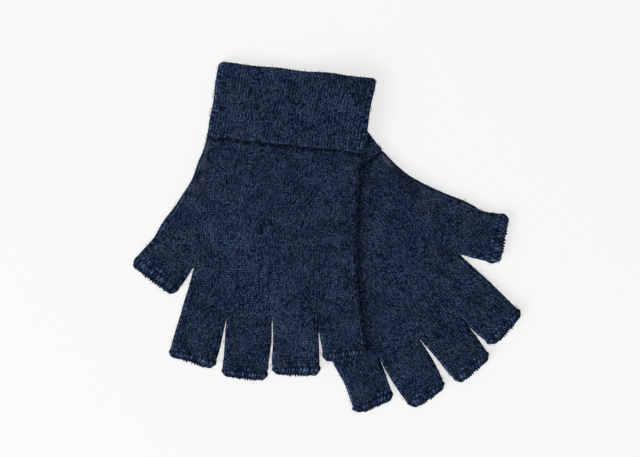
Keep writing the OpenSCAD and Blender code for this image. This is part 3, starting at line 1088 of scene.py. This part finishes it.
def stitch_legs(graph, knit, place):
    """Height of the two slanting legs of every stitch, and a random number for each leg."""
    maths = graph.maths
    stray = maths("SUBTRACT", graph.noise(place, SWAY_WAVES, 2.0, 0.5), 0.5)
    sway = maths("MULTIPLY", stray, SWAY)
    split = graph.add("ShaderNodeSeparateXYZ", {0: knit}).outputs
    wale, course = (maths("ADD", split[k], sway) for k in (0, 1))
    off_middle = maths("ABSOLUTE", maths("SUBTRACT", maths("FRACT", wale), 0.5))
    slanted = maths("ADD", course, maths("MULTIPLY", off_middle, SLANT))
    legs = maths("MULTIPLY", wale, 2.0)
    cell = graph.add("ShaderNodeCombineXYZ", {0: maths("FLOOR", legs), 1: maths("FLOOR", slanted)})
    inputs = {"Vector": cell.outputs[0]}
    chance = graph.add("ShaderNodeTexWhiteNoise", inputs, noise_dimensions="2D").outputs["Value"]
    across, along = (
        maths("SINE", maths("MULTIPLY", maths("FRACT", v), math.pi)) for v in (legs, slanted)
    )
    return maths("POWER", maths("MULTIPLY", across, along), 0.5), chance


def knit_material(name, mid, light):
    """Heathered wool: legs of stitches, yarn, fibres and flecks over the relief, and loose hairs; painted
    shade darkens the valleys and the gaps between the stitches' legs.
    """
    mat = bpy.data.materials.new(name)
    mat.use_nodes = True
    graph = Graph(mat)
    bsdf = graph.nodes["Principled BSDF"]
    for key, value in WOOL.items():
        graph.put(bsdf.inputs[key], value)
    place = graph.add("ShaderNodeTexCoord", {}).outputs["Object"]
    knit = graph.add("ShaderNodeUVMap", {}, uv_map="Knit").outputs["UV"]
    noise, ramp = graph.noise, graph.ramp
    leg, chance = stitch_legs(graph, knit, place)

    stretch = graph.mapped(knit, Scale=(YARN_WAVES, YARN_WAVES, 1))
    colour = graph.mixed(ramp(noise(stretch, 1.0, 1.0, 0.5), 0.2, 0.85), mid, light)
    # fibres that lie across the stitches, in three directions
    for turn, seed in FLECK_TURNS:
        lie = graph.mapped(place, Rotation=(0, 0, turn), Location=grey(seed), Scale=FLECK_WAVES)
        colour = graph.mixed(ramp(noise(lie, 1.0, 1.0, 0.5), 0.66, 0.82), colour, FLECK)
    colour = graph.mixed(ramp(noise(place, PURPLE_WAVES, 2.0, 0.65), 0.64, 0.8), colour, PURPLE)
    fibres = noise(place, FIBRE_WAVES, 3.0, 0.7)
    colour = graph.shaded(colour, ramp(fibres, 0.36, 0.64), grey(0.35), grey(1.55))
    cloudy = noise(place, CLOUD_WAVES, 3.0, 0.6)
    colour = graph.shaded(colour, ramp(cloudy, 0.3, 0.7), grey(0.93), grey(1.07))
    colour = graph.shaded(colour, chance, *STITCH_SHADES)
    # painted shade: the colour is darkest in the gaps between the legs of the stitches and lightest on the
    # middle of each leg
    colour = graph.shaded(colour, ramp(leg, 0.25, 0.9), grey(0.03), grey(1.45))
    # little light reaches the valleys between the stitches
    colour = graph.mixed(ramp(graph.attribute("relief"), -0.15, 0.55), DARK, colour)
    hair = graph.mixed(ramp(noise(place, HAIR_WAVES, 1.0, 0.5), 0.4, 0.6), HAIR_DARK, HAIR_LIGHT)
    graph.put(bsdf.inputs["Base Color"], graph.mixed(graph.attribute("loose"), colour, hair))

    bumps = {"Strength": 0.9, "Distance": 0.3 * MM, "Height": graph.maths("ADD", fibres, leg)}
    graph.put(bsdf.inputs["Normal"], graph.add("ShaderNodeBump", bumps).outputs["Normal"])
    return mat


def scaled(colour, share):
    return tuple(share * v for v in colour)


plain = knit_material("plain_knit", MID, LIGHT)
rib = knit_material("rib_knit", scaled(MID, 1.15), scaled(LIGHT, 1.15))
coarse = knit_material("band_knit", scaled(MID, 1.25), scaled(LIGHT, 1.3))


# ------------------------ the pieces

BEND = 14.0


def frame_point(lay, p, z=0.0):
    place = lay.world(np.asarray(p, float))
    return tuple(np.array([place[0], place[1], z]) * MM)


for side in SIDES:
    lay = LAYOUTS[side]
    hand = hand_surface(side).build(f"{side}_hand_knit", plain)
    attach(hand, f"{side}_glove")
    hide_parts(f"{side}_hand")

    cuff = cuff_surface(side).build(f"{side}_cuff_knit", rib)
    if side == "left":
        frame_point(lay, (0, 0))
        frame_point(lay, (0, BEND - 2))
        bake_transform(cuff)
    else:
        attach(cuff, "right_glove")
    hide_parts(f"{side}_cuff")

    for name in DIGITS:
        shape = DIGIT_SHAPES[side, name]
        stall = stall_node(side, name)
        piece = digit_surface(side, name).build(f"{stall}_knit", plain)
        bend = min(BEND, 0.85 * shape.stall)
        frame_point(lay, shape.mid)
        frame_point(lay, shape.mid + shape.down * bend)
        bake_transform(piece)
        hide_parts(stall)
        band = band_surface(side, name).build(f"{side}_{name}_band_knit", coarse)
        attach(band, f"{side}_{name}_body")
        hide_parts(f"{side}_{name}_band")


# ------------------------ floor, light and camera

# Width of the view and its middle, and the lens
VIEW_WIDTH = 342.0
VIEW_MID = (-4.05, 4.97)
LENS = 70.0
SENSOR = 36.0
# Height of the plane that the view's width is measured on
VIEW_PLANE = 4.0
# Half the floor's side, the key light's place in metres and its size, and the sky
FLOOR_REACH = 4.0
KEY_AT = Vector((-2.1, -1.8, 1.8))
KEY_SIZE = 1.9
KEY_ENERGY = 118.0
SKY = 0.5
# Paper that glows a little, which keeps the shadows as pale as in the photo
PAPER = {
    "Base Color": grey(0.2),
    "Emission Color": grey(1),
    "Emission Strength": 0.73,
    "Roughness": 0.9,
    "Specular IOR Level": 0.1,
}


floor_mesh = bpy.data.meshes.new("floor")
corners = [(x * FLOOR_REACH, y * FLOOR_REACH, 0) for x, y in ((-1, -1), (1, -1), (1, 1), (-1, 1))]
floor_mesh.from_pydata(corners, [], [(0, 1, 2, 3)])
paper = bpy.data.materials.new("paper")
paper.use_nodes = True
paper_graph = Graph(paper)
for key, value in PAPER.items():
    paper_graph.put(paper_graph.nodes["Principled BSDF"].inputs[key], value)
floor_mesh.materials.append(paper)
added("floor", floor_mesh)

world = bpy.data.worlds.new("studio")
world.use_nodes = True
world.node_tree.nodes["Background"].inputs["Color"].default_value = (1, 1, 1, 1)
world.node_tree.nodes["Background"].inputs["Strength"].default_value = SKY
bpy.context.scene.world = world

key_light = bpy.data.lights.new("key", "AREA")
key_light.shape = "DISK"
key_light.size = KEY_SIZE
key_light.energy = KEY_ENERGY
key_object = added("key", key_light)
key_object.location = KEY_AT
key_object.rotation_mode = "QUATERNION"
key_object.rotation_quaternion = KEY_AT.to_track_quat("Z", "Y")

camera_data = bpy.data.cameras.new("camera")
camera_data.lens, camera_data.sensor_width = LENS, SENSOR
camera = added("camera", camera_data)
camera_height = VIEW_WIDTH * LENS / SENSOR + VIEW_PLANE
camera.location = (VIEW_MID[0] * MM, VIEW_MID[1] * MM, camera_height * MM)
bpy.context.scene.camera = camera
bpy.context.scene.view_settings.view_transform = "Standard"
